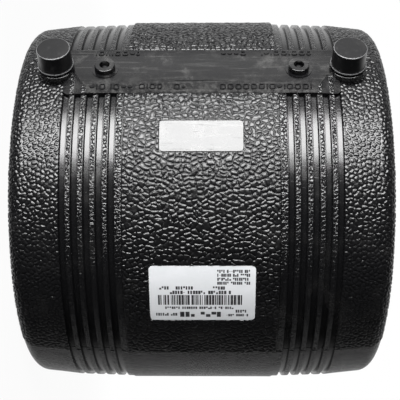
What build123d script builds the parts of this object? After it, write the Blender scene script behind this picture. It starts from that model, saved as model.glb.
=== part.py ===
from build123d import *
import math
import os

os.makedirs("parts", exist_ok=True)

# All sizes are in millimetres. The bore axis is +Z, the lower end face lies on z = 0,
# and the two electrical terminals point along -Y.

# Pipe, wall and length
pipe_diameter = 160.0
pipe_clearance = 0.6
wall = 19.4
coupler_length = 184.0

# Outside of the barrel: a straight middle band, a small step, then two slopes to the end
band_step = 0.4
land_drop = 1.4
end_drop = 4.15
end_rounding = 7.75

# Grip grooves round each half, counted inward from the end face
groove_count = 5
groove_pitch = 5.8
groove_inset = 26.5
groove_mouth = 3.2
groove_floor = 2.1
groove_depth = 1.7
groove_lip = 0.5
band_margin = 5.1

# Inside of the barrel
mouth_chamfer = 3.0
fusion_inset = 20.0
cold_zone = 48.0
stop_count = 6
stop_arc = 40.0
stop_height = 2.4
stop_length = 5.0
stop_relief = 0.65
stop_rounding = 0.6

# Heating winding: two wound bands joined by one lead
winding_thickness = 1.5
winding_clearance = 0.1
winding_pitch = 3.6
valley_depth = 0.6
valley_side = 1.15
wire_diameter = 1.0
wire_clearance = 0.15
winding_end = 1.5

# Smooth pad that carries the terminals and indicators
pad_rise = 0.3
pad_width = 31.2
pad_overrun = 4.2
pad_corner = 3.0
pad_depth = 8.0
insert_rise = 0.2
insert_length = 26.0
insert_width = 16.0
stamp_length = 13.4
stamp_width = 6.6
stamp_offset = (11.9, -24.7)
ramp_drop = 1.1
ramp_length = 13.0
ramp_width = 11.6
ramp_slant = 7.0

# Blank marking panel beside the pad
panel_angle = 22.35
panel_rise = 0.7
panel_length = 39.4
panel_width = 15.4
panel_corner = 1.8

# Terminals: a shroud tube on a round collar, a contact pin inside and a push-on cap outside
terminal_inset = 20.8
collar_height = 2.1
collar_margin = 0.2
collar_rounding = 0.5
shroud_diameter = 13.2
shroud_bore = 9.6
shroud_height = 11.6
shroud_rounding = 0.4
shroud_floor = 1.4
contact_diameter = 4.0
contact_recess = 1.4
contact_chamfer = 0.5
flange_diameter = 7.0
flange_thickness = 1.2
shank_diameter = 4.6
shank_depth = 12.1
barb_depth = 0.5
barb_width = 1.2
barb_count = 2
barb_pitch = 3.2
insert_clearance = 0.1
tail_depth = 3.0
cap_wall = 1.55
cap_clearance = 0.15
cap_gap = 0.3
cap_seat = 1.3
cap_top = 1.6
cap_lip = 0.4
cap_lip_height = 0.7
cap_taper = 0.25
cap_rounding = 0.6
cap_edge = 0.25

# Fusion indicators: a loose pin in a blind hole through a low round boss
indicator_spacing = 23.8
indicator_boss = 10.1
indicator_boss_height = 3.3
indicator_skirt = 13.0
indicator_skirt_height = 0.6
indicator_hole = 5.1
indicator_clearance = 0.2
indicator_floor = 5.5
indicator_recess = 1.5
indicator_seat = 0.3
indicator_rounding = 0.5
indicator_dome = 1.6

# Identification label, stuck on the barrel
label_angle = 66.5
label_length = 50.5
label_width = 30.4
label_corner = 2.0
label_shift = 0.5
label_thickness = 0.15
label_lift = 0.05

# Worked out from the sizes above
middle = coupler_length / 2
bore_radius = pipe_diameter / 2 + pipe_clearance
barrel_radius = bore_radius + wall
recess_radius = bore_radius + winding_thickness + winding_clearance
relief_radius = bore_radius + stop_relief
terminal_reach = middle - terminal_inset
indicator_reach = terminal_reach - indicator_spacing
pad_radius = barrel_radius + pad_rise
pad_length = 2 * (terminal_reach - pad_overrun)
pad_end = middle - pad_length / 2
band_start = groove_inset + groove_pitch * (groove_count - 1) + band_margin
groove_flank = math.degrees(math.atan2(groove_depth, (groove_mouth - groove_floor) / 2))
shroud_top = barrel_radius + shroud_height
shroud_base = barrel_radius - shroud_floor
collar_top = barrel_radius + collar_height
flange_base = shroud_base - flange_thickness
shank_base = shroud_base - shank_depth
contact_length = shroud_height + shroud_floor - contact_recess
fusion_length = middle - cold_zone / 2 - fusion_inset
band_length = fusion_length - 2 * winding_clearance
band_centre = cold_zone / 2 + fusion_length / 2
winding_turns = math.floor((band_length - 2 * winding_end) / winding_pitch)
valley_radius = bore_radius + valley_depth - valley_side / math.sqrt(2)
lead_radius = bore_radius + winding_thickness / 2
tail_top = shank_base + tail_depth - insert_clearance
cap_bore = shroud_diameter / 2 + cap_clearance
cap_mouth = cap_bore + cap_wall
collar_radius = cap_mouth + cap_lip + collar_margin
cap_foot = collar_top + cap_seat
cap_ceiling = shroud_top + cap_gap
indicator_top = barrel_radius + indicator_boss_height
indicator_base = bore_radius + indicator_floor
indicator_pin = indicator_hole - 2 * indicator_clearance
indicator_head = indicator_top - indicator_recess
label_radius = barrel_radius + label_lift


def land_radius(inset):
    """Radius of the barrel's outside at a distance from the end face."""
    if inset < pad_end:
        return barrel_radius - end_drop + (end_drop - land_drop) * inset / pad_end
    slope = (land_drop - band_step) / (band_start - pad_end)
    return barrel_radius - land_drop + slope * (inset - pad_end)


def outward_plane(angle):
    """Plane through the bore axis at half length, facing outward at an angle from the terminals."""
    across = Vector(1, 0, 0).rotate(Axis.Z, angle)
    facing = Vector(0, -1, 0).rotate(Axis.Z, angle)
    return Plane(origin=(0, 0, middle), x_dir=across, z_dir=facing)


def turning_plane(reach):
    """Plane through a terminal's or indicator's own axis: x is off that axis, y is off the bore axis."""
    return Plane(origin=(0, 0, middle + reach), x_dir=(1, 0, 0), z_dir=(0, 0, -1))


def turning_axis(reach):
    """Axis of a terminal or an indicator, pointing out of the barrel."""
    return Axis(origin=(0, 0, middle + reach), direction=(0, -1, 0))


def ramp_plane(side):
    """Plane of the ramp at one end of the pad: its top edge runs from the pad's edge inward."""
    half_width = pad_width / 2
    edge_height = math.sqrt(pad_radius**2 - half_width**2)
    top_height = math.sqrt(pad_radius**2 - (half_width - ramp_width) ** 2)
    foot = Vector(half_width, -edge_height, middle + side * (pad_length / 2 - ramp_length))
    top = Vector(half_width - ramp_width, -top_height, foot.Z + side * ramp_slant)
    corner = Vector(half_width, ramp_drop - edge_height, middle + side * pad_length / 2)
    along = (top - foot).normalized()
    outward = (corner - foot).cross(along) * side
    return Plane(origin=foot, x_dir=along, z_dir=outward)


# The raised pad: straight sides in the mould's drawing direction, its face round like the barrel,
# and run down in a flat ramp at its two corners beside the marking panel
with BuildPart() as terminal_pad:
    with BuildSketch(outward_plane(0).offset(barrel_radius - pad_depth)):
        RectangleRounded(pad_width, pad_length, pad_corner)
    extrude(amount=2 * pad_depth)
    with Locations((0, 0, middle)):
        Cylinder(pad_radius, coupler_length, mode=Mode.INTERSECT)
    for side in (-1, 1):
        with Locations(ramp_plane(side)):
            Box(
                3 * ramp_length,
                2 * ramp_length,
                pad_depth,
                align=(Align.CENTER, Align.MAX if side > 0 else Align.MIN, Align.MIN),
                mode=Mode.SUBTRACT,
            )

# Blank mould inserts in the pad's face: a large one at the centre and a small one near its edge
with BuildPart() as pad_inserts:
    with BuildSketch(outward_plane(0).offset(barrel_radius - pad_depth)):
        Rectangle(insert_width, insert_length)
        with Locations(stamp_offset):
            Rectangle(stamp_width, stamp_length)
    extrude(amount=2 * pad_depth)
    with Locations((0, 0, middle)):
        Cylinder(pad_radius + insert_rise, coupler_length, mode=Mode.INTERSECT)

# The blank marking panel
with BuildPart() as marking_panel:
    with BuildSketch(outward_plane(panel_angle).offset(barrel_radius - pad_depth)):
        RectangleRounded(panel_width, panel_length, panel_corner)
    extrude(amount=2 * pad_depth)
    with Locations((0, 0, middle)):
        Cylinder(barrel_radius + panel_rise, coupler_length, mode=Mode.INTERSECT)

# The body: one moulding, turned from half of its wall section and mirrored at half length
with BuildPart() as coupler_body:
    with BuildSketch(outward_plane(0)):
        with BuildLine():
            Polyline(
                (bore_radius, 0),
                (barrel_radius, 0),
                (barrel_radius, middle - band_start),
                (land_radius(band_start), middle - band_start),
                (land_radius(pad_end), middle - pad_end),
                (land_radius(0), middle),
                (bore_radius + mouth_chamfer, middle),
                (bore_radius, middle - mouth_chamfer),
                close=True,
            )
        wall_face = make_face()
        end_corner = wall_face.vertices().sort_by_distance((land_radius(0), middle))[0]
        fillet(end_corner, end_rounding)
        for groove in range(groove_count):
            inset = groove_inset + groove * groove_pitch
            with Locations((land_radius(inset) + groove_lip, middle - inset)):
                Trapezoid(
                    groove_mouth + 2 * groove_lip / math.tan(math.radians(groove_flank)),
                    groove_depth + groove_lip,
                    groove_flank,
                    rotation=90,
                    align=(Align.CENTER, Align.MIN),
                    mode=Mode.SUBTRACT,
                )
        with Locations((0, middle - fusion_inset)):
            Rectangle(
                recess_radius,
                fusion_length,
                align=(Align.MIN, Align.MAX),
                mode=Mode.SUBTRACT,
            )
        Rectangle(relief_radius, stop_length / 2, align=(Align.MIN, Align.MIN), mode=Mode.SUBTRACT)
        mirror(about=Plane.XZ)
    revolve(axis=Axis.Z)

    # Pipe stop: a ring of lugs, open between them so that the lead can cross
    for lug in range(stop_count):
        lug_start = (lug + 0.5) * 360 / stop_count - stop_arc / 2
        with BuildSketch(outward_plane(lug_start - 90)):
            with Locations((relief_radius, 0)):
                RectangleRounded(2 * (stop_height + stop_relief), stop_length, stop_rounding)
        revolve(axis=Axis.Z, revolution_arc=stop_arc)

    add(terminal_pad.part)
    add(pad_inserts.part)
    add(marking_panel.part)

    # Terminals: a collar and a shroud tube each, with a stepped hole for the pin and the wire's tail
    for reach in (-terminal_reach, terminal_reach):
        with BuildSketch(turning_plane(reach)):
            with BuildLine():
                Polyline(
                    (0, barrel_radius - pad_depth),
                    (collar_radius, barrel_radius - pad_depth),
                    (collar_radius, collar_top),
                    (shroud_diameter / 2, collar_top),
                    (shroud_diameter / 2, shroud_top),
                    (0, shroud_top),
                    close=True,
                )
            tower = make_face()
            collar_rim = tower.vertices().sort_by_distance((collar_radius, collar_top))[0]
            fillet(collar_rim, collar_rounding)
            shroud_rim = tower.vertices().sort_by_distance((shroud_diameter / 2, shroud_top))[0]
            fillet(shroud_rim, shroud_rounding)
        revolve(axis=turning_axis(reach))
        with BuildSketch(turning_plane(reach)):
            with Locations((0, shroud_top)):
                Rectangle(shroud_bore / 2, shroud_top - shroud_base, align=(Align.MIN, Align.MAX))
            with Locations((0, shroud_base)):
                Rectangle(
                    flange_diameter / 2 + insert_clearance,
                    flange_thickness,
                    align=(Align.MIN, Align.MAX),
                )
                Rectangle(
                    shank_diameter / 2 + insert_clearance,
                    shank_depth + insert_clearance,
                    align=(Align.MIN, Align.MAX),
                )
                Rectangle(
                    wire_diameter / 2 + wire_clearance,
                    shroud_base - bore_radius,
                    align=(Align.MIN, Align.MAX),
                )
        revolve(axis=turning_axis(reach), mode=Mode.SUBTRACT)

    # Indicators: a round boss on a low skirt each, with a blind hole for the pin
    for reach in (-indicator_reach, indicator_reach):
        with BuildSketch(turning_plane(reach)):
            with BuildLine():
                Polyline(
                    (0, barrel_radius - pad_depth),
                    (indicator_skirt / 2, barrel_radius - pad_depth),
                    (indicator_skirt / 2, barrel_radius + indicator_skirt_height),
                    (indicator_boss / 2, barrel_radius + indicator_skirt_height),
                    (indicator_boss / 2, indicator_top),
                    (0, indicator_top),
                    close=True,
                )
            boss = make_face()
            boss_rim = boss.vertices().sort_by_distance((indicator_boss / 2, indicator_top))[0]
            fillet(boss_rim, indicator_rounding)
        revolve(axis=turning_axis(reach))
        with BuildSketch(outward_plane(0).offset(indicator_base)):
            with Locations((0, reach)):
                Circle(indicator_hole / 2)
        extrude(amount=indicator_top - indicator_base, mode=Mode.SUBTRACT)

    # Slot for the lead that joins the two wound bands, through the gap between two stop lugs
    with BuildSketch(outward_plane(0).offset(bore_radius - stop_height)):
        Rectangle(wire_diameter + 2 * wire_clearance, cold_zone)
    extrude(amount=stop_height + winding_thickness + wire_clearance, mode=Mode.SUBTRACT)

coupler_body.part.label = "coupler_body"
export_step(coupler_body.part, "parts/coupler_body.step")


# The heating winding: coated wire wound side by side and fused into two bands, one lead along
# the bore between the bands, and a tail out of each band's outer end into its terminal pin.
# A helical valley in each band's inner face marks off its turns.
with BuildPart() as heating_winding:
    with BuildSketch(outward_plane(0)):
        with Locations((bore_radius, band_centre)):
            Rectangle(winding_thickness, band_length, align=(Align.MIN, Align.CENTER))
        mirror(about=Plane.XZ)
    revolve(axis=Axis.Z)
    for band in (-band_centre, band_centre):
        valley_path = Helix(
            pitch=winding_pitch,
            height=winding_pitch * winding_turns,
            radius=valley_radius,
            center=(0, 0, middle + band - winding_pitch * winding_turns / 2),
        )
        with BuildSketch(Plane(origin=valley_path @ 0, z_dir=valley_path % 0)):
            Rectangle(valley_side, valley_side, rotation=45)
        sweep(path=valley_path, is_frenet=True, mode=Mode.SUBTRACT)
    with BuildSketch(Plane.XY.offset(middle - cold_zone / 2 - winding_end)):
        with Locations((0, -lead_radius)):
            Circle(wire_diameter / 2)
    extrude(amount=cold_zone + 2 * winding_end)
    with BuildSketch(outward_plane(0).offset(lead_radius)):
        with Locations((0, -terminal_reach), (0, terminal_reach)):
            Circle(wire_diameter / 2)
    extrude(amount=tail_top - lead_radius)

heating_winding.part.label = "heating_winding"
export_step(heating_winding.part, "parts/heating_winding.step")


# Each half has one terminal pin, one terminal cap and one indicator pin
for half, side in (("lower", -1), ("upper", 1)):
    terminal = side * terminal_reach
    indicator = side * indicator_reach

    # Terminal pin: contact, flange and barbed shank, with a blind hole in its foot for the tail
    with BuildPart() as terminal_pin:
        with BuildSketch(turning_plane(terminal)):
            with Locations((0, shroud_base)):
                Rectangle(contact_diameter / 2, contact_length, align=(Align.MIN, Align.MIN))
                Rectangle(flange_diameter / 2, flange_thickness, align=(Align.MIN, Align.MAX))
                Rectangle(shank_diameter / 2, shank_depth, align=(Align.MIN, Align.MAX))
            for barb in range(barb_count):
                with Locations((shank_diameter / 2, flange_base - (barb + 1) * barb_pitch)):
                    Rectangle(
                        barb_depth,
                        barb_width,
                        align=(Align.MAX, Align.MAX),
                        mode=Mode.SUBTRACT,
                    )
            with Locations((0, shank_base)):
                Rectangle(
                    wire_diameter / 2 + wire_clearance,
                    tail_depth,
                    align=(Align.MIN, Align.MIN),
                    mode=Mode.SUBTRACT,
                )
        revolve(axis=turning_axis(terminal))
        tip = terminal_pin.edges().filter_by(GeomType.CIRCLE).sort_by(Axis.Y)[0]
        chamfer(tip, contact_chamfer)

    terminal_pin.part.label = f"terminal_pin_{half}"
    export_step(terminal_pin.part, f"parts/terminal_pin_{half}.step")

    # Terminal cap: a tapered skirt over the shroud, a thin lip round its mouth and a flat top
    with BuildPart() as terminal_cap:
        with BuildSketch(turning_plane(terminal)):
            with BuildLine():
                Polyline(
                    (0, cap_ceiling + cap_top),
                    (cap_mouth - cap_taper, cap_ceiling + cap_top),
                    (cap_mouth, cap_foot + cap_lip_height),
                    (cap_mouth + cap_lip, cap_foot + cap_lip_height),
                    (cap_mouth + cap_lip, cap_foot),
                    (cap_bore, cap_foot),
                    (cap_bore, cap_ceiling),
                    (0, cap_ceiling),
                    close=True,
                )
            shell = make_face()
            crown = shell.vertices().sort_by_distance(
                (cap_mouth - cap_taper, cap_ceiling + cap_top)
            )[0]
            fillet(crown, cap_rounding)
            lip_corners = shell.vertices().group_by(Axis.X)[-1]
            fillet(lip_corners, cap_edge)
        revolve(axis=turning_axis(terminal))

    terminal_cap.part.label = f"terminal_cap_{half}"
    export_step(terminal_cap.part, f"parts/terminal_cap_{half}.step")

    # Indicator pin: a plain pin with a rounded head, set below the rim of its boss
    with BuildPart() as fusion_indicator:
        with BuildSketch(outward_plane(0).offset(indicator_base + indicator_seat)):
            with Locations((0, indicator)):
                Circle(indicator_pin / 2)
        extrude(amount=indicator_head - indicator_base - indicator_seat)
        head = fusion_indicator.edges().filter_by(GeomType.CIRCLE).sort_by(Axis.Y)[0]
        fillet(head, indicator_dome)

    fusion_indicator.part.label = f"fusion_indicator_{half}"
    export_step(fusion_indicator.part, f"parts/fusion_indicator_{half}.step")


# The identification label, a thin sheet bent round the barrel
with BuildPart() as identification_label:
    with BuildSketch(outward_plane(label_angle).offset(barrel_radius - pad_depth)):
        with Locations((0, label_shift)):
            RectangleRounded(label_width, label_length, label_corner)
    extrude(amount=2 * pad_depth)
    with Locations((0, 0, middle)):
        Cylinder(label_radius + label_thickness, coupler_length, mode=Mode.INTERSECT)
        Cylinder(label_radius, coupler_length, mode=Mode.SUBTRACT)

identification_label.part.label = "identification_label"
export_step(identification_label.part, "parts/identification_label.step")
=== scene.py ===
"""Looks of an electrofusion pipe coupler, built around its CAD frame. Lengths are in metres."""

import logging
import math
from dataclasses import dataclass, field
from enum import Enum
from functools import cached_property, reduce
from typing import NamedTuple, Optional, Union

import bpy
import numpy as np
from mathutils import Matrix, Vector
from mathutils.bvhtree import BVHTree


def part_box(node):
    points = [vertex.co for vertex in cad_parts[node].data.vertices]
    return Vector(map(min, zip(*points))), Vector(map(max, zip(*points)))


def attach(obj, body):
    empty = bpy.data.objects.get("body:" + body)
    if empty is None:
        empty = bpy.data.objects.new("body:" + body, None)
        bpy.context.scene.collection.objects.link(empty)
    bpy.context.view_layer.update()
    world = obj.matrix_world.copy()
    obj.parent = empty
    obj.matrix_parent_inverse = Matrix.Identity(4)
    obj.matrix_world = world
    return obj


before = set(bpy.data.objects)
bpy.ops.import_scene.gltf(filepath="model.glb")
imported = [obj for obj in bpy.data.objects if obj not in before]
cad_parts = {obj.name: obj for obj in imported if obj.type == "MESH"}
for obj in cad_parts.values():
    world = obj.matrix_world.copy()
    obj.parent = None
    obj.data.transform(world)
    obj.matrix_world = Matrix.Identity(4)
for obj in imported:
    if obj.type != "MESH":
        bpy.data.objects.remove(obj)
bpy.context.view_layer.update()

MM = 0.001
LOG = logging.getLogger("coupler")

Array = np.ndarray
Socket = bpy.types.NodeSocket
Thing = bpy.types.Object
Value = Union[float, tuple, Socket]


class Half(Enum):
    """The two halves of the coupler, named as in the CAD frame."""

    LOWER = "lower"
    UPPER = "upper"


class Slot(Enum):
    """Material slots of the record, one for each kind of added piece; the pieces get their own finish
    instead.
    """

    BODY = "body"
    LABEL = "label"


# ---- frame


@dataclass(frozen=True)
class Layout:
    """Main places and sizes of the coupler, as the CAD frame gives them.

    The bore axis is +Z. An angle round it is counted from the terminals, towards +X.
    """

    length: float
    radius: float
    terminal_z: dict
    cap_top: float
    label_angle: float
    label_half_angle: float
    label_z: float
    label_half_length: float
    label_radius: float

    @property
    def middle(self) -> float:
        """Height of the plane at half length."""
        return self.length / 2

    @staticmethod
    def from_frame() -> "Layout":
        """Reads the layout from the boxes of the CAD nodes.

        Returns:
            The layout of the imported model.
        """
        low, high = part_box("coupler_body")
        label_low, label_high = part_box("identification_label")
        near = math.atan2(label_low.x, -label_low.y)
        far = math.atan2(label_high.x, -label_high.y)
        caps = {half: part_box(f"terminal_cap_{half.value}") for half in Half}
        return Layout(
            length=high.z - low.z,
            radius=high.x,
            terminal_z={half: (box[0].z + box[1].z) / 2 for half, box in caps.items()},
            cap_top=-caps[Half.LOWER][0].y,
            label_angle=(near + far) / 2,
            label_half_angle=(far - near) / 2,
            label_z=(label_low.z + label_high.z) / 2,
            label_half_length=(label_high.z - label_low.z) / 2,
            label_radius=math.hypot(label_high.x, label_high.y),
        )


# ---- meshes


def on_barrel(angle: Array, radius: Array, z: Array) -> Array:
    """Points, with x, y and z in the last axis, given by their place round the bore axis."""
    return np.stack([radius * np.sin(angle), -radius * np.cos(angle), z], axis=-1)


def add_object(name: str, data: bpy.types.ID) -> Thing:
    """Makes an object in the row frame.

    Args:
        name: Name of the object.
        data: Its mesh, camera or lamp.

    Returns:
        The new object.
    """
    thing = bpy.data.objects.new(name, data)
    bpy.context.scene.collection.objects.link(thing)
    return thing


def add_mesh(name: str, points: Array, faces: list, smooth: bool = True) -> Thing:
    """Makes a mesh object in the row frame.

    Args:
        name: Name of the piece.
        points: Array of points, three numbers each.
        faces: Lists of point numbers, one for each face.
        smooth: Whether the faces are shaded smooth.

    Returns:
        The new object.
    """
    mesh = bpy.data.meshes.new(name)
    mesh.from_pydata([tuple(p) for p in points], [], faces)
    mesh.polygons.foreach_set("use_smooth", [smooth] * len(mesh.polygons))
    mesh.update()
    return add_object(name, mesh)


def join_parts(parts: list) -> tuple:
    """Joins several meshes into one.

    Args:
        parts: Points and faces of each mesh.

    Returns:
        All the points, and all the faces with their new point numbers.
    """
    faces = []
    count = 0
    for points, part_faces in parts:
        faces += [[count + k for k in face] for face in part_faces]
        count += len(points)
    return np.concatenate([points for points, _ in parts]), faces


def grid_faces(rows: int, columns: int) -> Array:
    """Quads of a grid of points that is stored row by row.

    Args:
        rows: Number of rows of points.
        columns: Number of points in a row.

    Returns:
        An array of quads, four point numbers each.
    """
    row, column = np.meshgrid(np.arange(rows - 1), np.arange(columns - 1), indexing="ij")
    first = row * columns + column
    return np.stack([first, first + columns, first + columns + 1, first + 1], axis=-1).reshape(-1, 4)


def smoothstep(value: Array, low: float = 0.0, high: float = 1.0) -> Array:
    """Smooth rise from 0 at low to 1 at high."""
    share = np.clip((value - low) / (high - low), 0.0, 1.0)
    return share * share * (3.0 - 2.0 * share)


def drifting_noise(x: Array, y: Array, scale: float, seed: int) -> Array:
    """Smooth noise from -1 to 1 on a plane.

    Args:
        x: First coordinate.
        y: Second coordinate.
        scale: Distance over which the noise changes.
        seed: Seed of its random values.

    Returns:
        The noise at each point.
    """
    rng = np.random.default_rng(seed)
    u = (x - x.min()) / scale
    v = (y - y.min()) / scale
    table = rng.uniform(-1.0, 1.0, (int(u.max()) + 3, int(v.max()) + 3))
    i, j = u.astype(int), v.astype(int)
    s, t = smoothstep(u - i), smoothstep(v - j)
    low = table[i, j] * (1 - s) + table[i + 1, j] * s
    high = table[i, j + 1] * (1 - s) + table[i + 1, j + 1] * s
    return low * (1 - t) + high * t


# ---- shader graphs


class Graph:
    """Adds nodes to one node tree and joins them."""

    def __init__(self, tree: bpy.types.NodeTree) -> None:
        """Keeps the tree and starts it empty."""
        self.tree = tree
        tree.nodes.clear()

    @cached_property
    def place(self) -> Socket:
        """The point in the row frame. A node group has its own input here instead."""
        return self.add("TexCoord").outputs["Object"]

    @cached_property
    def axes(self) -> tuple:
        """The three coordinates of the place."""
        return tuple(self.add("SeparateXYZ", {0: self.place}).outputs)

    def add(self, kind: str, inputs: Optional[dict] = None, **settings: object) -> bpy.types.Node:
        """Adds a node.

        Args:
            kind: The node's type, without its ShaderNode prefix.
            inputs: Values or sockets for its inputs, by name or number.
            **settings: Its own properties.

        Returns:
            The new node.
        """
        node = self.tree.nodes.new(f"ShaderNode{kind}")
        for name, value in settings.items():
            setattr(node, name, value)
        for key, value in (inputs or {}).items():
            self.feed(node.inputs[key], value)
        return node

    def feed(self, socket: Socket, value: Value) -> None:
        """Sets an input socket, or joins another node's output to it.

        Args:
            socket: The input.
            value: A number, a colour or an output socket.
        """
        if isinstance(value, Socket):
            self.tree.links.new(value, socket)
        else:
            socket.default_value = value

    def math(self, operation: str, *values: Value, clamp: bool = False) -> Socket:
        """Adds a Math node and returns its output, held between 0 and 1 if clamp is set."""
        return self.add("Math", dict(enumerate(values)), operation=operation, use_clamp=clamp).outputs[0]

    def times(self, *values: Value) -> Socket:
        """Product of two or more values."""
        return reduce(lambda product, value: self.math("MULTIPLY", product, value), values)

    def total(self, *values: Value) -> Socket:
        """Sum of two or more values."""
        return reduce(lambda total, value: self.math("ADD", total, value), values)

    def vector(self, operation: str, *values: Value, result: str = "Vector") -> Socket:
        """Adds a Vector Math node and returns its vector, or its number if result is Value."""
        return self.add("VectorMath", dict(enumerate(values)), operation=operation).outputs[result]

    def rise(self, value: Value, low: float, high: float) -> Socket:
        """Smooth rise of a value from 0 at low to 1 at high; low may be the larger one."""
        inputs = {"Value": value, "From Min": low, "From Max": high}
        return self.add("MapRange", inputs, interpolation_type="SMOOTHSTEP").outputs["Result"]

    def window(self, value: Value, start: float, low: float, high: float, end: float) -> Socket:
        """1 from low to high, falling smoothly to 0 at start and end."""
        return self.times(self.rise(value, start, low), self.rise(value, end, high))

    def blend(self, share: Value, first: Value, second: Value) -> Socket:
        """Mix of two numbers: the first at share 0, the second at share 1."""
        return self.add("Mix", {"Factor": share, 2: first, 3: second}, data_type="FLOAT").outputs[0]

    def tint(self, share: Value, first: Value, second: Value) -> Socket:
        """Mix of two colours: the first at share 0, the second at share 1."""
        return self.add("Mix", {"Factor": share, 6: first, 7: second}, data_type="RGBA").outputs[2]

    def noise(self, waves: Union[float, tuple], detail: float = 2.0, rough: float = 0.5) -> Socket:
        """Noise from 0 to 1 at the graph's place.

        Args:
            waves: Waves per metre, the same in every direction or one number for each axis.
            detail: How many finer noises it has.
            rough: How strong they are.

        Returns:
            The node's output.
        """
        vector = self.place
        if isinstance(waves, tuple):
            vector = self.add("Mapping", {"Vector": vector, "Scale": waves}).outputs[0]
            waves = 1.0
        inputs = {"Vector": vector, "Scale": waves, "Detail": detail, "Roughness": rough}
        return self.add("TexNoise", inputs).outputs["Fac"]

    def bump(self, height: Value) -> Socket:
        """Normal of a surface whose height is given in metres."""
        return self.add("Bump", {"Height": height, "Strength": 1.0, "Distance": 1.0}).outputs["Normal"]

    def effect(self, tree: bpy.types.NodeTree, **inputs: Value) -> bpy.types.bpy_prop_collection:
        """Places a shared effect at the graph's place and returns its outputs."""
        return self.add("Group", {"Vector": self.place, **inputs}, node_tree=tree).outputs


class Effects:
    """Node groups that several materials share. Each is built once, when it is first asked for."""

    def start(self, name: str, inputs: dict, outputs: tuple) -> tuple:
        """Starts a node group that works on a vector.

        Args:
            name: Name of the group.
            inputs: Its inputs besides Vector, all numbers, with their defaults.
            outputs: Its output names, all numbers.

        Returns:
            The group's graph, the sockets that it is given, and those that it has to fill.
        """
        tree = bpy.data.node_groups.new(name, "ShaderNodeTree")
        tree.interface.new_socket("Vector", in_out="INPUT", socket_type="NodeSocketVector")
        for key, default in inputs.items():
            socket = tree.interface.new_socket(key, in_out="INPUT", socket_type="NodeSocketFloat")
            socket.default_value = default
        for key in outputs:
            tree.interface.new_socket(key, in_out="OUTPUT", socket_type="NodeSocketFloat")
        g = Graph(tree)
        given = tree.nodes.new("NodeGroupInput").outputs
        g.place = given["Vector"]
        return g, given, tree.nodes.new("NodeGroupOutput").inputs

    @cached_property
    def grain(self) -> bpy.types.NodeTree:
        """Fine leather grain of a spark-eroded mould: soft pillows with narrow valleys.

        Returns:
            A group with inputs Vector and Cell, in metres, and output Height, from 0 to 1.
        """
        push, valley = 1.1 * MM, 0.34
        g, given, wanted = self.start("mould_grain", {"Cell": 1.8 * MM}, ("Height",))
        per_metre = g.math("DIVIDE", 1.0, given["Cell"])
        drift = g.add("TexNoise", {"Vector": g.place, "Scale": per_metre, "Detail": 1.0}).outputs["Color"]
        pushed = g.vector("MULTIPLY", g.vector("ADD", drift, (-0.5,) * 3), (push,) * 3)
        inputs = {"Vector": g.vector("ADD", g.place, pushed), "Scale": per_metre, "Randomness": 0.9}
        edge = g.add("TexVoronoi", inputs, feature="DISTANCE_TO_EDGE").outputs["Distance"]
        hollow = g.math("SUBTRACT", 1.0, g.math("DIVIDE", edge, valley, clamp=True))
        g.feed(wanted["Height"], g.math("SUBTRACT", 1.0, g.times(hollow, hollow)))
        return g.tree

    @cached_property
    def wear(self) -> bpy.types.NodeTree:
        """Handling marks on smooth plastic: dust, dull patches and hair scratches.

        Returns:
            A group with inputs Vector and Amount, and outputs Dust, Dull and Scratch, from 0 to 1.
        """
        scratches = (1900.0, 1900.0, 60.0)
        g, given, wanted = self.start("handling_wear", {"Amount": 1.0}, ("Dust", "Dull", "Scratch"))
        patches = g.rise(g.noise(55.0, 5.0, 0.62), 0.48, 0.78)
        specks = g.rise(g.noise(2600.0, 2.0, 0.6), 0.66, 0.78)
        masks = {
            "Dust": g.total(g.times(patches, 0.35), g.times(specks, 0.65)),
            "Dull": patches,
            "Scratch": g.rise(g.noise(scratches, 3.0, 0.7), 0.63, 0.74),
        }
        for name, mask in masks.items():
            g.feed(wanted[name], g.math("MULTIPLY", mask, given["Amount"], clamp=True))
        return g.tree


EFFECTS = Effects()


# ---- finishes


@dataclass(frozen=True)
class Finish:
    """A procedural material. A subclass gives the inputs of its surface."""

    name: str

    @cached_property
    def material(self) -> bpy.types.Material:
        """The material, made when it is first asked for.

        Returns:
            The same material each time.
        """
        material = bpy.data.materials.new(self.name)
        material.use_nodes = True
        g = Graph(material.node_tree)
        g.add("OutputMaterial", {"Surface": self.shader(g)})
        return material

    def shader(self, g: Graph) -> Socket:
        """The shader of the material: one Principled BSDF."""
        return g.add("BsdfPrincipled", self.surface(g)).outputs["BSDF"]

    def surface(self, g: Graph) -> dict:
        """Inputs of the Principled BSDF, by name."""
        raise NotImplementedError


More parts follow.
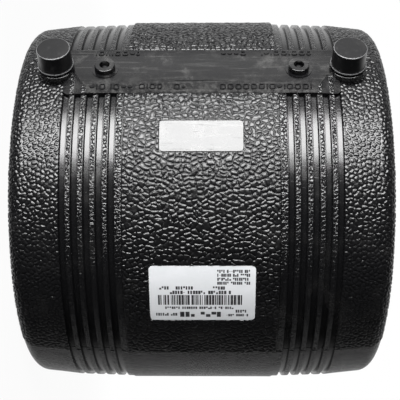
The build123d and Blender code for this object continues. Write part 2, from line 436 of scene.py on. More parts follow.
@dataclass(frozen=True)
class Plastic(Finish):
    """Moulded polyethylene with a little handling wear."""

    colour: tuple = (0.0045, 0.0045, 0.005, 1.0)
    dusty: tuple = (0.032, 0.031, 0.030, 1.0)
    # Pale tone of scuffs, and of painted highlights where a subclass adds them.
    scuff_and_highlight_tone: tuple = (0.085, 0.084, 0.082, 1.0)
    roughness: float = 0.22
    dulling: float = 0.12
    ior: float = 1.6
    ripple: float = 0.05 * MM
    fine: float = 0.0
    scratch: float = 0.01 * MM
    wear: float = 1.0

    def scuffs_and_highlights(self, g: Graph) -> Value:
        """Mask of the places that are tinted pale: scuffs, and on the caps painted rim highlights."""
        return 0.0

    def base_roughness(self, g: Graph) -> Value:
        """Roughness of the clean surface."""
        return self.roughness

    def height(self, g: Graph) -> Socket:
        """Height of the surface, in metres."""
        flow = g.times(g.noise(260.0, 3.0, 0.6), self.ripple)
        return g.total(flow, g.times(g.noise(1500.0, 2.0, 0.6), self.fine))

    def surface(self, g: Graph) -> dict:
        """Black plastic.

        Args:
            g: Graph of the material.

        Returns:
            Inputs of its Principled BSDF, by name.
        """
        worn = g.effect(EFFECTS.wear, Amount=self.wear)
        colour = g.tint(worn["Dust"], self.colour, self.dusty)
        height = g.total(self.height(g), g.times(worn["Scratch"], -self.scratch))
        return {
            # Pale tint for scuffs, and on the caps for painted rim highlights.
            "Base Color": g.tint(self.scuffs_and_highlights(g), colour, self.scuff_and_highlight_tone),
            "Roughness": g.math("MULTIPLY_ADD", worn["Dull"], self.dulling, self.base_roughness(g)),
            "Normal": g.bump(height),
            "IOR": self.ior,
        }


@dataclass(frozen=True, kw_only=True)
class BarrelPlastic(Plastic):
    """The body's plastic, with fine grain where the mould's second half and its lands have it."""

    length: float
    grained: tuple = (87.5 * MM, 88.0 * MM, 100.12 * MM, 100.20 * MM)
    cell: float = 1.7 * MM
    depth: float = 0.19 * MM
    grooved: tuple = (37.2 * MM, 37.5 * MM, 66.9 * MM, 67.2 * MM)
    groove_inset: float = 26.5 * MM
    groove_pitch: float = 5.8 * MM
    groove_edge: tuple = (1.75 * MM, 2.0 * MM)
    groove_count: int = 5
    edge: float = 0.3 * MM
    rear_edge: float = 0.1 * MM
    bored: tuple = (82.0 * MM, 81.4 * MM)
    turning: float = 0.012 * MM
    turning_pitch: float = 0.45 * MM
    raised: tuple = (100.55 * MM, 100.60 * MM)
    polished: float = 0.13
    topped: tuple = (100.12 * MM, 100.22 * MM)
    streaks: tuple = (520.0, 520.0, 34.0)
    rubbed: tuple = (4.0 * MM, 13.0 * MM, 16.0 * MM, 20.0 * MM)
    scuffing: float = 0.9

    def radius(self, g: Graph) -> Socket:
        """Distance from the bore axis."""
        return g.vector("LENGTH", g.vector("MULTIPLY", g.place, (1, 1, 0)), result="Value")

    def scuffs_and_highlights(self, g: Graph) -> Value:
        """Streaks and blotches of the pad and the marking panel, and the pad's rubbed side.

        Args:
            g: Graph of the material.

        Returns:
            The mask.
        """
        streaks = g.rise(g.noise(self.streaks, 5.0, 0.65), 0.50, 0.80)
        blotches = g.rise(g.noise(70.0, 5.0, 0.7), 0.50, 0.72)
        share = g.math("MULTIPLY_ADD", blotches, 0.55, g.times(streaks, 0.6), clamp=True)
        rubbed = g.times(g.window(g.axes[0], *self.rubbed), g.rise(g.noise(420.0, 6.0, 0.7), 0.35, 0.75))
        share = g.math("MULTIPLY_ADD", rubbed, 0.6, share, clamp=True)
        return g.times(share, g.rise(self.radius(g), *self.topped), self.scuffing)

    def base_roughness(self, g: Graph) -> Value:
        """Roughness of the clean surface: the marking panel and the bosses are polished."""
        return g.blend(g.rise(self.radius(g), *self.raised), self.roughness, self.polished)

    def height(self, g: Graph) -> Socket:
        """Adds fine grain to the lands and the rear half, and turning marks to the bore.

        Args:
            g: Graph of the material.

        Returns:
            The height, in metres.
        """
        _, y, z = g.axes
        radius = self.radius(g)
        reach = g.math("ABSOLUTE", g.math("SUBTRACT", z, self.length / 2))
        grooved = g.window(reach, *self.grooved)
        first = self.length / 2 - self.groove_inset
        last = first - (self.groove_count - 0.5) * self.groove_pitch
        from_groove = g.math("PINGPONG", g.math("SUBTRACT", first, reach), self.groove_pitch / 2)
        inner = g.rise(reach, last, last - self.edge)
        clear = g.math("MAXIMUM", g.rise(from_groove, *self.groove_edge), inner)
        rear = g.times(g.rise(y, -self.rear_edge, self.rear_edge), g.math("SUBTRACT", 1.0, grooved))
        mask = g.times(g.window(radius, *self.grained), g.math("MAXIMUM", g.times(grooved, clear), rear))
        relief = g.times(g.effect(EFFECTS.grain, Cell=self.cell)["Height"], mask, self.depth)
        wave = g.math("SINE", g.times(z, math.tau / self.turning_pitch))
        rings = g.times(wave, g.rise(radius, *self.bored), self.turning)
        return g.total(super().height(g), relief, rings)


@dataclass(frozen=True, kw_only=True)
class CapPlastic(Plastic):
    """The caps' plastic, with painted highlights along the crown's and the lip's rims and a few pale scuffs
    on its top.
    """

    middle: float
    reach: float
    crown: float
    crown_radius: float = 8.05 * MM
    crown_edge: tuple = (0.42 * MM, 0.231 * MM)
    lip: float
    lip_radius: float
    lip_edge: tuple = (0.35 * MM, 0.20 * MM)
    lip_band: tuple = (0.50 * MM, 0.35 * MM)
    # Pale tone of the painted rim highlights and of the scuffs on the top.
    scuff_and_highlight_tone: tuple = (0.20, 0.20, 0.205, 1.0)

    def scuffs_and_highlights(self, g: Graph) -> Value:
        """Painted highlights along the crown's edge and the lip's upper edge, broken up by noise, plus pale
        scuffs rubbed on the top.

        Args:
            g: Graph of the material.

        Returns:
            The mask.
        """
        x, y, z = g.axes
        from_middle = g.math("ABSOLUTE", g.math("SUBTRACT", z, self.middle))
        flat = g.add("CombineXYZ", {"X": x, "Y": g.math("SUBTRACT", from_middle, self.reach)})
        radius = g.vector("LENGTH", flat.outputs[0], result="Value")
        height = g.times(y, -1.0)
        # Bands at the crown's and the lip's rims, painted pale as a highlight.
        rim_highlights = []
        for side, top, side_edge, top_edge in (
            (self.crown_radius, self.crown, self.crown_edge, self.crown_edge),
            (self.lip_radius, self.lip, self.lip_edge, self.lip_band),
        ):
            beside = g.rise(radius, side - side_edge[0], side - side_edge[1])
            rim_highlights.append(g.times(beside, g.rise(height, top - top_edge[0], top - top_edge[1])))
        broken = g.rise(g.noise(700.0, 4.0, 0.65), 0.22, 0.62)
        rubbed = g.times(g.rise(g.noise(330.0, 6.0, 0.7), 0.52, 0.85), 0.16)
        strength = g.math("MULTIPLY_ADD", broken, 0.55, 0.35)
        return g.math("MULTIPLY_ADD", g.math("MAXIMUM", *rim_highlights), strength, rubbed, clamp=True)


@dataclass(frozen=True)
class WoundWire(Finish):
    """Coated resistance wire, wound side by side: dark coating with the wire showing through."""

    coating: tuple = (0.020, 0.019, 0.018, 1.0)
    copper: tuple = (0.42, 0.17, 0.075, 1.0)
    pitch: float = 3.6 * MM
    show: float = 0.62
    swell: float = 0.12 * MM

    def surface(self, g: Graph) -> dict:
        """A wound band.

        Args:
            g: Graph of the material.

        Returns:
            Inputs of its Principled BSDF, by name.
        """
        x, y, z = g.axes
        climbed = g.math("MULTIPLY_ADD", g.math("ARCTAN2", y, x), -self.pitch / math.tau, z)
        strand = g.math("PINGPONG", climbed, self.pitch / 6)
        middle = g.rise(strand, self.pitch / 16, self.pitch / 8)
        bare = g.times(middle, g.rise(g.noise(420.0, 4.0, 0.6), 0.30, 0.62), self.show)
        wave = g.math("SINE", g.times(strand, math.tau * 1.5 / self.pitch))
        return {
            "Base Color": g.tint(bare, self.coating, self.copper),
            "Metallic": g.times(bare, 0.9),
            "Roughness": g.blend(bare, 0.42, 0.30),
            "Normal": g.bump(g.times(wave, self.swell)),
        }


@dataclass(frozen=True)
class Brass(Finish):
    """Tin-plated brass of the terminal pins."""

    bright: tuple = (0.62, 0.60, 0.55, 1.0)
    dark: tuple = (0.40, 0.33, 0.20, 1.0)
    turning: float = 0.006 * MM

    def surface(self, g: Graph) -> dict:
        """Plated metal, turned on a lathe.

        Args:
            g: Graph of the material.

        Returns:
            Inputs of its Principled BSDF, by name.
        """
        stain = g.rise(g.noise(900.0, 4.0, 0.6), 0.42, 0.72)
        lathe = g.noise((400.0, 9000.0, 400.0))
        return {
            "Base Color": g.tint(stain, self.bright, self.dark),
            "Metallic": 1.0,
            "Roughness": g.blend(stain, 0.24, 0.42),
            "Normal": g.bump(g.times(lathe, self.turning)),
        }


@dataclass(frozen=True)
class LabelStock(Finish):
    """White film label that follows the grain under it a little."""

    white: tuple = (0.62, 0.635, 0.65, 1.0)
    shade: tuple = (0.66, 0.67, 0.69, 1.0)
    cell: float = 2.6 * MM
    relief: float = 0.012 * MM

    def surface(self, g: Graph) -> dict:
        """Coated film.

        Args:
            g: Graph of the material.

        Returns:
            Inputs of its Principled BSDF, by name.
        """
        cloudy = g.rise(g.noise(90.0, 4.0, 0.6), 0.35, 0.75)
        grain = g.effect(EFFECTS.grain, Cell=self.cell)["Height"]
        return {
            "Base Color": g.tint(cloudy, self.white, self.shade),
            "Roughness": g.blend(cloudy, 0.48, 0.60),
            "Normal": g.bump(g.times(grain, self.relief)),
        }


@dataclass(frozen=True)
class Ink(Finish):
    """Thermal-transfer print, a little broken."""

    black: tuple = (0.016, 0.016, 0.018, 1.0)
    thin: tuple = (0.12, 0.12, 0.125, 1.0)

    def surface(self, g: Graph) -> dict:
        """Print."""
        broken = g.rise(g.noise(3200.0), 0.55, 0.70)
        return {"Base Color": g.tint(broken, self.black, self.thin), "Roughness": g.blend(broken, 0.45, 0.60)}


@dataclass(frozen=True)
class PaleFloor(Finish):
    """Pale studio floor. What the camera sees of it is near the backdrop's white."""

    pale: tuple = (0.80, 0.80, 0.80, 1.0)
    shade: tuple = (0.70, 0.70, 0.70, 1.0)
    lift: float = 0.95
    fade: tuple = (0.16, 0.42)

    def shader(self, g: Graph) -> Socket:
        """A matt surface that the camera sees mixed with plain white.

        Args:
            g: Graph of the material.

        Returns:
            The shader of the material.
        """
        cloudy = g.times(g.noise(6.0, 3.0), 0.06)
        matt = g.add("BsdfDiffuse", {"Color": g.tint(cloudy, self.pale, self.shade)})
        white = g.add("Emission", {"Color": (1, 1, 1, 1), "Strength": 1.0})
        away = g.vector("LENGTH", g.place, result="Value")
        share = g.blend(g.rise(away, *self.fade), self.lift, 1.0)
        seen = g.times(g.add("LightPath").outputs["Is Camera Ray"], share)
        return g.add("MixShader", {0: seen, 1: matt.outputs[0], 2: white.outputs[0]}).outputs[0]


# ---- sub-assemblies


@dataclass
class SubAssembly:
    """One group of pieces that ride together and share a layout."""

    layout: Layout
    body: str = "coupler"
    pieces: list = field(default_factory=list)

    def keep(self, piece: Thing, slot: Slot, finish: Finish) -> None:
        """Dresses a new piece and lets it ride on the body.

        Args:
            piece: The new object.
            slot: Not used.
            finish: Its own finish.
        """
        piece.data.materials.append(finish.material)
        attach(piece, self.body)
        self.pieces.append(piece)

    def build(self) -> None:
        """Makes and dresses the pieces."""
        raise NotImplementedError

    def report(self) -> None:
        """Logs each piece with its triangles."""
        for piece in self.pieces:
            piece.data.calc_loop_triangles()
            LOG.info("%s: %s, %d triangles", type(self).__name__, piece.name, len(piece.data.loop_triangles))


@dataclass(frozen=True)
class Pebble:
    """One grain of the mould: the size of its pillows and the shape of their edges."""

    cell: tuple
    rise: float
    reach: float
    sink: float
    joined: float
    step: tuple
    seed: int
    gap: float = 0.0
    broad: float = 0.28
    wall: float = 0.62
    jitter: float = 0.42
    stagger: float = 0.25
    drift: float = 0.40 * MM
    drift_scale: float = 1.9 * MM
    taper: float = 1.5
    uneven: tuple = (0.80, 0.40)
    lumps: float = 0.12
    lump_scale: float = 1.0 * MM

    def border_distance(self, x: Array, y: Array) -> tuple:
        """Distance from each point to the edge of its pillow.

        Args:
            x: Place along the bore axis.
            y: Place round the barrel.

        Returns:
            The distances, and a random number from 0 to 1 that all points of a pillow share.
        """
        rng = np.random.default_rng(self.seed)
        margin = 3
        i = ((x - x.min()) / self.cell[0]).astype(int) + margin
        j = ((y - y.min()) / self.cell[1]).astype(int) + margin
        shape = (i.max() + margin + 1, j.max() + margin + 1)
        column, row = np.meshgrid(np.arange(shape[0]), np.arange(shape[1]), indexing="ij")
        spread = rng.uniform(-self.jitter, self.jitter, (2, *shape))
        brick = self.stagger * (column % 2 * 2 - 1)
        site_x = (column - margin + 0.5 + spread[0]) * self.cell[0] + x.min()
        site_y = (row - margin + 0.5 + brick + spread[1]) * self.cell[1] + y.min()
        group = column * shape[1] + row
        fused = rng.random(shape) < self.joined
        sideways = rng.random(shape) < 0.5
        neighbour = np.where(sideways, np.roll(group, -1, axis=0), np.roll(group, -1, axis=1))
        group = np.where(fused, neighbour, group)
        shared = rng.random(group.max() + 1)
        around = [(i + di, j + dj) for di in range(-2, 3) for dj in range(-2, 3)]
        best = np.full(x.shape, np.inf)
        own_i, own_j = i, j
        for near in around:
            away = (site_x[near] - x) ** 2 + (site_y[near] - y) ** 2
            closer = away < best
            best = np.where(closer, away, best)
            own_i, own_j = np.where(closer, near[0], own_i), np.where(closer, near[1], own_j)
        own = (own_i, own_j)
        border = np.full(x.shape, np.inf)
        for near in around:
            away = (site_x[near] - x) ** 2 + (site_y[near] - y) ** 2
            apart = np.hypot(site_x[near] - site_x[own], site_y[near] - site_y[own])
            between = (away - best) / (2 * np.maximum(apart, 1e-9))
            border = np.minimum(border, np.where(group[near] == group[own], np.inf, between))
        return border, shared[group[own]]

    def height(self, x: Array, y: Array, room: Array) -> Array:
        """Height of the grain over the barrel.

        Args:
            x: Place along the bore axis.
            y: Place round the barrel.
            room: Distance from the nearest smooth place, negative inside it.

        Returns:
            The height, down to minus the sink.
        """
        bent_x = x + self.drift * drifting_noise(x, y, self.drift_scale, self.seed + 1)
        bent_y = y + self.drift * drifting_noise(x, y, self.drift_scale, self.seed + 2)
        border, shared = self.border_distance(bent_x, bent_y)
        edge = np.minimum(border - self.gap, np.maximum(room, 0.0) * self.taper)
        steep = np.clip(edge / self.reach, 0.0, 1.0)
        broad = np.clip(edge / (2 * self.reach), 0.0, 1.0)
        dome = 1.0 - (1.0 - self.broad) * (1.0 - steep) ** 3 - self.broad * (1.0 - broad) ** 2
        dome = np.maximum(dome, 0.0) ** self.wall
        tall = self.rise * (self.uneven[0] + self.uneven[1] * shared)
        tall = tall * (1.0 + self.lumps * drifting_noise(x, y, self.lump_scale, self.seed + 3))
        return (tall + self.sink) * dome - self.sink


class Grain(Enum):
    """The grains of the barrel's first half."""

    MIDDLE = Pebble(
        cell=(2.75 * MM, 2.45 * MM), rise=0.60 * MM, reach=0.80 * MM, sink=0.17 * MM,
        joined=0.10, step=(0.275 * MM, 0.275 * MM), seed=11,
    )
    END = Pebble(
        cell=(2.2 * MM, 2.5 * MM), rise=0.30 * MM, reach=0.55 * MM, sink=0.06 * MM,
        joined=0.08, step=(0.32 * MM, 0.34 * MM), seed=31, gap=0.20 * MM,
    )


class Stretch(NamedTuple):
    """A stretch of the barrel's outline, one value for each row of its grain."""

    along: Array
    radius: Array
    z: Array
    outward: Array
    axial: Array


@dataclass
class PebbleGrain(SubAssembly):
    """Coarse leather grain of the body's first half, as raised pillows on the CAD barrel.

    The pillows' feet are sunk in the barrel, and what would lie wholly under it is left out.
    """

    finish: Plastic = Plastic(
        "grained_polyethylene", roughness=0.28, ripple=0.03 * MM, fine=0.09 * MM, wear=0.5
    )
    sectors: int = 4
    seen: float = -0.05 * MM
    band_half: float = 37.2 * MM
    half_turn: float = math.radians(89.7)
    pad_half: float = 15.6 * MM
    pad_end: float = 67.0 * MM
    panel_angle: float = math.radians(22.35)
    panel_half: tuple = (7.7 * MM, 19.7 * MM)
    collar_radius: float = 8.9 * MM
    end_radius: float = 95.85 * MM
    land_radius: float = 98.6 * MM
    rounding: float = 7.75 * MM
    round_share: float = 0.85

    def smooth_room(self, angle: Array, z: Array, radius: Array) -> Array:
        """Distance from the barrel's smooth places: pad, panel, collars, label and parting line.

        Args:
            angle: Radians from the terminals, towards +X.
            z: Height along the bore axis.
            radius: Distance from the bore axis.

        Returns:
            The distance, negative inside a smooth place.
        """
        layout = self.layout
        across = radius * np.sin(angle)
        facing = np.cos(angle) > 0
        reach = np.abs(z - layout.middle)
        room = np.where(facing, np.maximum(np.abs(across) - self.pad_half, reach - self.pad_end), 1.0)
        turned = np.abs(radius * (angle - self.panel_angle)) - self.panel_half[0]
        room = np.minimum(room, np.maximum(turned, reach - self.panel_half[1]))
        beside = np.abs(radius * (angle - layout.label_angle)) - layout.radius * layout.label_half_angle
        beyond = np.abs(z - layout.label_z) - layout.label_half_length
        room = np.minimum(room, np.maximum(beside, beyond))
        for terminal in layout.terminal_z.values():
            collar = np.hypot(across, z - terminal) - self.collar_radius
            room = np.where(facing, np.minimum(room, collar), room)
        return np.minimum(room, (self.half_turn - np.abs(angle)) * radius)

    def relief(self, name: str, pebble: Pebble, stretch: Stretch, turn: Array) -> None:
        """Makes the raised grain over one stretch of the barrel.

        Args:
            name: Name of the piece.
            pebble: The grain that it has.
            stretch: The barrel's outline there.
            turn: First and last angle, in radians from the terminals.
        """
        around = self.layout.radius
        shape = (len(stretch.along), int((turn[1] - turn[0]) * around / pebble.step[1]) + 1)
        angle = np.broadcast_to(np.linspace(*turn, shape[1]), shape)
        wide = Stretch(*(np.broadcast_to(values[:, None], shape) for values in stretch))
        ends = np.minimum(wide.along - wide.along.min(), wide.along.max() - wide.along)
        room = np.minimum(self.smooth_room(angle, wide.z, wide.radius), ends)
        high = pebble.height(wide.along, (angle + self.half_turn) * around, room)
        points = on_barrel(angle, wide.radius + high * wide.outward, wide.z + high * wide.axial)
        above = high > self.seen
        keep = above[:-1, :-1] | above[1:, :-1] | above[:-1, 1:] | above[1:, 1:]
        used, numbers = np.unique(grid_faces(*shape)[keep.ravel()], return_inverse=True)
        piece = add_mesh(name, points.reshape(-1, 3)[used], numbers.reshape(-1, 4).tolist())
        self.keep(piece, Slot.BODY, self.finish)

    def build(self) -> None:
        """Makes the grain of the middle band and of both ends."""
        pebble = Grain.MIDDLE.value
        count = int(2 * self.band_half / pebble.step[0]) + 1
        along = np.linspace(-self.band_half, self.band_half, count)
        level = np.ones(count)
        band = Stretch(along, level * self.layout.radius, along + self.layout.middle, level, 0 * level)
        edges = np.linspace(-self.half_turn, self.half_turn, self.sectors + 1)
        for number in range(self.sectors):
            self.relief(f"grain_middle_{number + 1}", pebble, band, edges[number : number + 2])
        for half in Half:
            self.relief(f"grain_{half.value}_end", Grain.END.value, self.end_outline(half), edges[[0, -1]])

    def end_outline(self, half: Half) -> Stretch:
        """Outline of an end of the barrel, from the last groove round the edge.

        Args:
            half: Which end.

        Returns:
            The outline, row by row.
        """
        start = self.layout.middle - self.pad_end
        slope = math.atan2(self.land_radius - self.end_radius, start)
        centre_radius = self.end_radius + self.rounding * (math.tan(slope) - 1 / math.cos(slope))
        straight = (start - self.rounding * (1 - math.sin(slope))) / math.cos(slope)
        bend = self.rounding * (math.pi / 2 - slope) * self.round_share
        along = np.arange(0, straight + bend, Grain.END.value.step[0])
        turned = slope + np.maximum(along - straight, 0.0) / self.rounding
        on_line = along < straight
        inset = np.where(on_line, start - along * math.cos(slope), self.rounding * (1 - np.sin(turned)))
        bent_radius = centre_radius + self.rounding * np.cos(turned)
        radius = np.where(on_line, self.land_radius - along * math.sin(slope), bent_radius)
        side, z = (-1, inset) if half is Half.LOWER else (1, self.layout.length - inset)
        return Stretch(along, radius, z, np.cos(turned), side * np.sin(turned))


@dataclass
class PartingLine(SubAssembly):
    """Thin flash left where the mould's halves met, on both sides of the barrel."""

    finish: Plastic = Plastic("parting_flash", roughness=0.35, wear=0.4)
    height: float = 0.10 * MM
    half_width: float = 0.16 * MM
    step: float = 0.35 * MM
    margin: float = 3.0 * MM
    clearance: float = 20.0 * MM

    def build(self) -> None:
        """Follows the CAD surface along the bore axis, a quarter turn from the terminals."""
        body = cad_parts["coupler_body"]
        tree = BVHTree.FromObject(body, bpy.context.evaluated_depsgraph_get())
        length = self.layout.length
        heights = np.linspace(self.margin, length - self.margin, int((length - 2 * self.margin) / self.step))
        profile = ((-self.height, -self.half_width), (self.height, 0.0), (-self.height, self.half_width))
        for name, side in (("parting_line_left", -1), ("parting_line_right", 1)):
            points = []
            for z in heights:
                start = Vector((side * (self.layout.radius + self.clearance), 0, z))
                x = tree.ray_cast(start, Vector((-side, 0, 0)))[0].x
                points += [(x + side * lift, side * across, z) for lift, across in profile]
            faces = grid_faces(len(heights), len(profile)).tolist()
            self.keep(add_mesh(name, np.array(points), faces), Slot.BODY, self.finish)


class Mark(Enum):
    """Shapes of the plain raised marks."""

    FRAME = "frame"
    BLOCK = "block"
    BAR = "bar"


@dataclass
class PadMarks(SubAssembly):
    """Rows of plain raised marks on the pad, where such a moulding carries its data."""

    finish: Plastic = Plastic("mark_polyethylene", roughness=0.25, wear=0.5)
    pad_radius: float = 100.3 * MM
    stamp_radius: float = 100.5 * MM
    low_row: float = 12.0 * MM
    high_row: float = -12.3 * MM
    height: float = 0.48 * MM
    foot: float = 0.12 * MM
    bevel: float = 0.18 * MM
    stroke: float = 0.60 * MM
    least_frame: float = 1.32 * MM
    tall: float = 3.4 * MM
    wide: float = 2.9 * MM
    block_tall: float = 1.7 * MM
    block_wide: float = 2.32 * MM
    gap: float = 0.85 * MM
    corner: float = 0.95 * MM
    least_corner: float = 0.02 * MM
    corner_points: int = 5
    seed: int = 5

    def outline(self, half_x: float, half_z: float, corner: float) -> Array:
        """Rounded rectangle round the origin.

        Args:
            half_x: Half its width across the pad.
            half_z: Half its length along the bore axis.
            corner: Radius of its corners.

        Returns:
            An array of points, each across and along.
        """
        corner = max(min(corner, half_x, half_z), self.least_corner)
        turns = np.linspace(0, math.pi / 2, self.corner_points)
        arcs = []
        for quarter, (side_x, side_z) in enumerate(((1, 1), (-1, 1), (-1, -1), (1, -1))):
            spin = turns + quarter * math.pi / 2
            across = side_x * (half_x - corner) + corner * np.cos(spin)
            along = side_z * (half_z - corner) + corner * np.sin(spin)
            arcs.append(np.stack([across, along], axis=-1))
        return np.concatenate(arcs)

    def mark(self, shape: Mark, centre: tuple, half: tuple, radius: float) -> tuple:
        """One raised mark with soft edges.

        Args:
            shape: Its shape.
            centre: Its middle, across the pad and along the bore axis.
            half: Half its size, across the pad and along the bore axis.
            radius: Radius of the surface that it stands on.

        Returns:
            Its points and its faces.
        """
        crest = self.height - self.bevel
        levels = [(0.0, -self.foot), (0.0, crest), (self.bevel, self.height)]
        if shape is Mark.FRAME:
            inner = self.stroke
            levels += [(inner - self.bevel, self.height), (inner, crest), (inner, -self.foot)]
        rings = []
        for inset, lift in levels:
            ring = self.outline(half[0] - inset, half[1] - inset, self.corner - inset)
            x = centre[0] + ring[:, 0]
            y = -np.sqrt((radius + lift) ** 2 - x * x)
            rings.append(np.stack([x, y, centre[1] + ring[:, 1]], axis=-1))
        count = len(rings[0])
        faces = [] if shape is Mark.FRAME else [list(range(2 * count, 3 * count))]
        for level in range(len(rings) - 1):
            for k in range(count):
                a, b = level * count + k, level * count + (k + 1) % count
                faces.append([a, b, b + count, a + count])
        return np.concatenate(rings), faces

    def row(self, start: float, end: float, across: float, radius: float, rng: np.random.Generator) -> list:
        """Marks of mixed shapes in a row along the bore axis.

        Args:
            start: Where the row starts, from half length.
            end: Where the row ends, from half length.
            across: The row's middle, across the pad.
            radius: Radius of the surface that it stands on.
            rng: Source of the marks' shapes.

        Returns:
            Points and faces of each mark.
        """
        widths = {Mark.FRAME: self.wide, Mark.BLOCK: self.block_wide, Mark.BAR: self.stroke}
        marks = []
        place = start
        while place < end - self.stroke:
            shape = rng.choice([Mark.FRAME, Mark.FRAME, Mark.BLOCK, Mark.BAR])
            long = min(widths[shape], end - place)
            tall = self.block_tall if shape is Mark.BLOCK else self.tall
            if long < self.least_frame:
                shape = Mark.BAR
            z = self.layout.middle + place + long / 2
            marks.append(self.mark(shape, (across, z), (tall / 2, long / 2), radius))
            place += long + self.gap
        return marks

    def build(self) -> None:
        """Makes both rows as one piece. Each run of marks has its ends in millimetres."""
        rng = np.random.default_rng(self.seed)
        low, high, pad = self.low_row, self.high_row, self.pad_radius
        runs = (
            (-54.0, -46.0, low, pad),
            (-44.0, -32.6, low, pad),
            (-30.2, -19.0, low, self.stamp_radius),
            (-13.4, -8.2, low, pad),
            (8.8, 53.0, low, pad),
            (-53.0, -31.0, high, pad),
            (9.6, 22.4, high, pad),
            (29.6, 54.4, high, pad),
        )
        marks = []
        for start, end, across, radius in runs:
            marks += self.row(start * MM, end * MM, across, radius, rng)
        self.keep(add_mesh("pad_marks", *join_parts(marks), smooth=False), Slot.BODY, self.finish)


@dataclass
class LabelPrint(SubAssembly):
    """Generic print on the label: a barcode of random bars and rows of short dashes."""

    finish: Ink = Ink("label_ink")
    lift: float = 0.02 * MM
    facet: float = 1.2 * MM
    code_along: tuple = (-21.2 * MM, 18.9 * MM)
    code_across: tuple = (0.2 * MM, 5.9 * MM)
    bar: float = 0.28 * MM
    dash: tuple = (0.60, 0.92)
    cut: float = 0.9
    cut_chance: float = 0.2
    word: tuple = (3, 9)
    space: float = 0.8
    seed: int = 8

    def patch(self, along: tuple, across: tuple) -> tuple:
        """A curved patch of print on the label.

        Args:
            along: Its ends along the bore axis, from the label's centre.
            across: Its ends round the barrel, from the label's centre, away from the terminals.

        Returns:
            Its points and its faces.
        """
        layout = self.layout
        count = max(2, int(abs(across[1] - across[0]) / self.facet) + 2)
        angle = layout.label_angle + np.linspace(*across, count) / layout.label_radius
        z, angle = np.meshgrid(layout.label_z + np.array(along), angle, indexing="ij")
        points = on_barrel(angle, np.full(z.shape, layout.label_radius + self.lift), z)
        return points.reshape(-1, 3), grid_faces(2, count).tolist()

    def words(self, along: tuple, across: tuple, letter: float, rng: np.random.Generator) -> list:
        """A row of short dashes grouped like words, with nothing to read.

        Args:
            along: Ends of the row along the bore axis, from the label's centre.
            across: Its ends round the barrel.
            letter: Distance from one dash to the next.
            rng: Source of the dashes' sizes.

        Returns:
            Points and faces of each dash.
        """
        dashes = []
        place = along[0]
        left = rng.integers(*self.word)
        cut = (across[1] - across[0]) / 2 * self.cut
        while place < along[1] - letter / 2:
            low = across[0] + (cut if rng.random() < self.cut_chance else 0.0)
            high = across[1] - (cut if rng.random() < self.cut_chance else 0.0)
            if high > low:
                dashes.append(self.patch((place, place + letter * rng.uniform(*self.dash)), (low, high)))
            place += letter
            left -= 1
            if left <= 0:
                place += letter * self.space
                left = rng.integers(*self.word)
        return dashes

    def build(self) -> None:
        """Lays out the barcode and the rows, whose ends and letters are in millimetres, as one piece."""
        rng = np.random.default_rng(self.seed)
        patches = []
        place, end = self.code_along
        while place < end:
            wide = self.bar * rng.choice([1, 2, 2, 3, 4])
            patches.append(self.patch((place, min(place + wide, end)), self.code_across))
            place += wide + self.bar * rng.choice([1, 1, 1, 2, 3])
        rows = (
            (-20.5, -15.2, -4.6, -2.8, 1.2),
            (-12.7, -4.1, -4.6, -2.8, 1.2),
            (5.0, 11.2, -4.6, -2.8, 1.2),
            (-15.5, 13.6, -2.2, -0.3, 1.25),
            *((7.0, 22.6, low, low + 1.6, 0.95) for low in (-13.3, -11.3, -9.2, -7.1)),
            (-17.9, 16.1, 6.9, 8.4, 1.05),
            (15.9, 21.2, 8.8, 10.6, 1.1),
            (-22.4, -12.0, 10.8, 12.6, 1.05),
            (-10.8, 10.7, 10.1, 13.3, 2.6),
            (11.4, 22.4, 11.4, 12.9, 1.0),
        )
        for row in rows:
            start, end, low, high, letter = (value * MM for value in row)
            patches += self.words((start, end), (low, high), letter, rng)
        self.keep(add_mesh("label_print", *join_parts(patches)), Slot.LABEL, self.finish)


@dataclass
class CadPieces(SubAssembly):
    """The CAD nodes, whose shapes stay, with their finishes."""

    cap_lip: float = 0.7 * MM

    def dress_node(self, node: str, finish: Finish) -> None:
        """Gives a CAD node its material.

        Args:
            node: Name of the node.
            finish: Its finish.
        """
        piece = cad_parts[node]
        for slot in piece.material_slots:
            slot.material = finish.material
        self.pieces.append(piece)

    def cap_finish(self) -> CapPlastic:
        """Finish of the caps, with their place from the layout.

        Returns:
            The finish of both caps.
        """
        layout = self.layout
        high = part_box("terminal_cap_upper")[1]
        return CapPlastic(
            "cap_polyethylene",
            roughness=0.30,
            ripple=0.02 * MM,
            fine=0.02 * MM,
            middle=layout.middle,
            reach=layout.terminal_z[Half.UPPER] - layout.middle,
            crown=layout.cap_top,
            lip=-high.y + self.cap_lip,
            lip_radius=high.x,
        )

    def build(self) -> None:
        """Dresses every CAD node."""
        self.dress_node("coupler_body", BarrelPlastic("body_polyethylene", length=self.layout.length))
        self.dress_node("heating_winding", WoundWire("wound_wire"))
        self.dress_node("identification_label", LabelStock("label_film"))
        doubles = {
            "terminal_pin": Brass("plated_brass"),
            "terminal_cap": self.cap_finish(),
            "fusion_indicator": Plastic("indicator_plastic", roughness=0.2, ripple=0.01 * MM, wear=0.3),
        }
        for half in Half:
            for node, finish in doubles.items():
                self.dress_node(f"{node}_{half.value}", finish)


# ---- studio


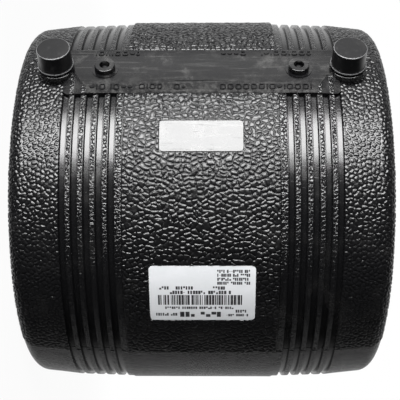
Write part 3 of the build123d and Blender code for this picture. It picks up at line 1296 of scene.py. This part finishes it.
@dataclass
class Studio:
    """Floor, lamp, backdrop and camera."""

    layout: Layout
    view_turn: float = math.radians(39.8)
    distance: float = 0.5
    shift_along: float = 5.1 * MM
    aim_along: float = -1.9 * MM
    lens: float = 77.7
    sensor: float = 36.0
    near_clip: float = 0.01
    floor_size: float = 6.0
    floor_points: int = 5
    floor_gap: float = 0.2 * MM
    softbox_turn: float = math.radians(38.0)
    softbox_distance: float = 1.2
    softbox_size: tuple = (1.35, 0.56)
    softbox_power: float = 38.5
    dark: float = 0.012
    behind: tuple = (-0.15, -0.60)
    ceiling: tuple = (0.94, 0.995)
    under: tuple = (0.0, -0.6)
    under_dimming: float = 0.6
    white: tuple = (1.0, 1.0, 1.0, 1.0)

    @property
    def middle(self) -> Vector:
        """Middle of the coupler."""
        return Vector((0, 0, self.layout.middle))

    @property
    def towards(self) -> Vector:
        """Direction from the bore axis to the camera."""
        return Vector((math.sin(self.view_turn), -math.cos(self.view_turn), 0))

    @property
    def upward(self) -> Vector:
        """Direction that the camera sees as up."""
        return Vector((-math.cos(self.view_turn), -math.sin(self.view_turn), 0))

    def aim(self, thing: Thing, target: Vector) -> None:
        """Turns a camera or lamp, whose own Y points upward as far as it can, to look at a target.

        Args:
            thing: The camera or lamp, in place.
            target: The point that it looks at.
        """
        back = (thing.location - target).normalized()
        right = self.upward.cross(back).normalized()
        thing.rotation_mode = "QUATERNION"
        thing.rotation_quaternion = Matrix((right, back.cross(right), back)).transposed().to_quaternion()

    def camera(self) -> None:
        """Places the camera near half length, turned so that the bore axis lies across the frame."""
        data = bpy.data.cameras.new("camera")
        data.lens = self.lens
        data.sensor_width = self.sensor
        data.clip_start = self.near_clip
        thing = add_object("camera", data)
        thing.location = self.middle + self.towards * self.distance + Vector((0, 0, self.shift_along))
        self.aim(thing, self.middle + Vector((0, 0, self.aim_along)))
        bpy.context.scene.camera = thing

    def softbox(self) -> None:
        """Adds a rectangular soft lamp that faces the coupler from above the camera."""
        data = bpy.data.lights.new("softbox", "AREA")
        data.shape = "RECTANGLE"
        data.size, data.size_y = self.softbox_size
        data.energy = self.softbox_power
        thing = add_object("softbox", data)
        outward = self.towards * math.cos(self.softbox_turn) + self.upward * math.sin(self.softbox_turn)
        thing.location = self.middle + outward * self.softbox_distance
        self.aim(thing, self.middle)
        thing.visible_camera = False

    def backdrop(self) -> None:
        """Lights the scene from a white room behind the coupler that is dark on the camera's side."""
        world = bpy.data.worlds.new("studio")
        bpy.context.scene.world = world
        world.use_nodes = True
        g = Graph(world.node_tree)
        way = g.add("TexCoord").outputs["Generated"]
        facing = g.vector("DOT_PRODUCT", way, tuple(self.towards), result="Value")
        rising = g.vector("DOT_PRODUCT", way, tuple(self.upward), result="Value")
        under = g.math("MULTIPLY_ADD", g.rise(rising, *self.under), -self.under_dimming, 1.0)
        behind = g.times(g.rise(facing, *self.behind), under)
        bright = g.math("MAXIMUM", behind, g.rise(rising, *self.ceiling))
        strength = g.math("MULTIPLY_ADD", bright, 1.0 - self.dark, self.dark)
        seen = g.math("MAXIMUM", strength, g.add("LightPath").outputs["Is Camera Ray"])
        background = g.add("Background", {"Color": self.white, "Strength": seen})
        g.add("OutputWorld", {"Surface": background.outputs[0]})

    def floor(self) -> None:
        """Lays a pale floor under the lower end face."""
        count = self.floor_points
        steps = np.linspace(-self.floor_size / 2, self.floor_size / 2, count)
        x, y = np.meshgrid(steps, steps, indexing="ij")
        points = np.stack([x, y, np.full(x.shape, -self.floor_gap)], axis=-1).reshape(-1, 3)
        floor = add_mesh("floor", points, grid_faces(count, count).tolist())
        floor.data.materials.append(PaleFloor("pale_floor").material)
        floor.visible_glossy = False
        floor.visible_shadow = False

    def build(self) -> None:
        """Sets up the whole studio."""
        self.camera()
        self.floor()
        self.backdrop()
        self.softbox()
        bpy.context.scene.view_settings.view_transform = "Standard"


def main() -> None:
    """Builds every sub-assembly in order, then the studio."""
    logging.basicConfig(level=logging.INFO, format="%(message)s")
    layout = Layout.from_frame()
    for kind in (CadPieces, PebbleGrain, PartingLine, PadMarks, LabelPrint):
        assembly = kind(layout)
        assembly.build()
        assembly.report()
    Studio(layout).build()


if __name__ == "__main__":
    main()
